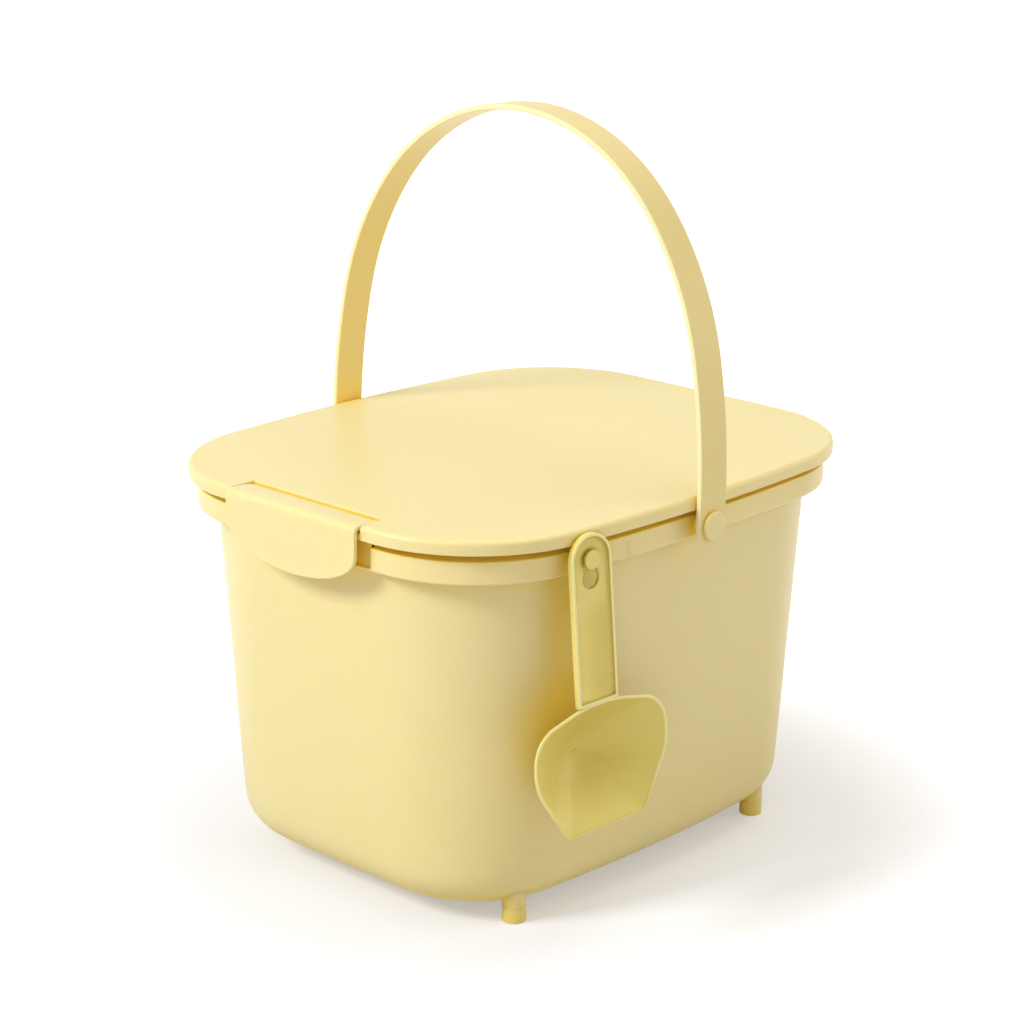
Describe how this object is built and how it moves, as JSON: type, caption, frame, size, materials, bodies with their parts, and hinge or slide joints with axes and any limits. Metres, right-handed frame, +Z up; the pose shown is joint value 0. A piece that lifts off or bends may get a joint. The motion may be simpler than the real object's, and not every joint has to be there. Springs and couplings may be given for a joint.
{
  "type": "pet food storage bin",
  "caption": "Tapered dry-food tub with soft corners, a hinged lid with a front latch, a flat strap handle over the top and a scoop hung on one side.",
  "frame": {"origin": "centre of the bounding box's base, on the ground under the feet", "axes": "+Z up, -Y towards the latch at the front, +X towards the side the scoop hangs on"},
  "size_m": [0.2797, 0.3259, 0.3952],
  "materials": {
    "bin_plastic": "smooth matte pastel yellow plastic",
    "seal_rubber": "soft translucent off-white silicone, shown opaque",
    "pin_steel": "drawn steel wire"
  },
  "bodies": {
    "bin": {"tub": "bin_plastic", "foot_front_left": "bin_plastic", "foot_front_right": "bin_plastic", "foot_rear_left": "bin_plastic", "foot_rear_right": "bin_plastic", "hinge_pin": "pin_steel", "handle_pivot_left": "bin_plastic", "handle_pivot_right": "bin_plastic"},
    "lid": {"lid_cover": "bin_plastic", "lid_liner": "bin_plastic", "lid_seal": "seal_rubber", "latch_pin": "pin_steel"},
    "latch": {"latch": "bin_plastic"},
    "handle": {"handle": "bin_plastic"},
    "peg": {"scoop_peg": "bin_plastic"},
    "scoop": {"scoop": "bin_plastic"}
  },
  "joints": [
    {"name": "handle_swing", "type": "hinge", "parent": "bin", "child": "handle", "pos_m": [0, 0.0013, 0.198], "axis": [1, 0, 0], "range_deg": [-55, 0]},
    {"name": "lid_hinge", "type": "hinge", "parent": "bin", "child": "lid", "pos_m": [0, 0.1594, 0.203], "axis": [-1, 0, 0], "range_deg": [0, 5]},
    {"name": "latch_flip", "type": "hinge", "parent": "lid", "child": "latch", "pos_m": [0, -0.1472, 0.2125], "axis": [-1, 0, 0], "range_deg": [0, 100]},
    {"name": "scoop_swing", "type": "hinge", "parent": "bin", "child": "peg", "pos_m": [0.1319, -0.0859, 0.1996], "axis": [0.9966, -0.0819, 0], "range_deg": [-30, 30]},
    {"name": "scoop_lift", "type": "slide", "parent": "peg", "child": "scoop", "axis": [-0.061, -0.0261, 0.9978], "range_m": [0, 0.0095]}
  ]
}
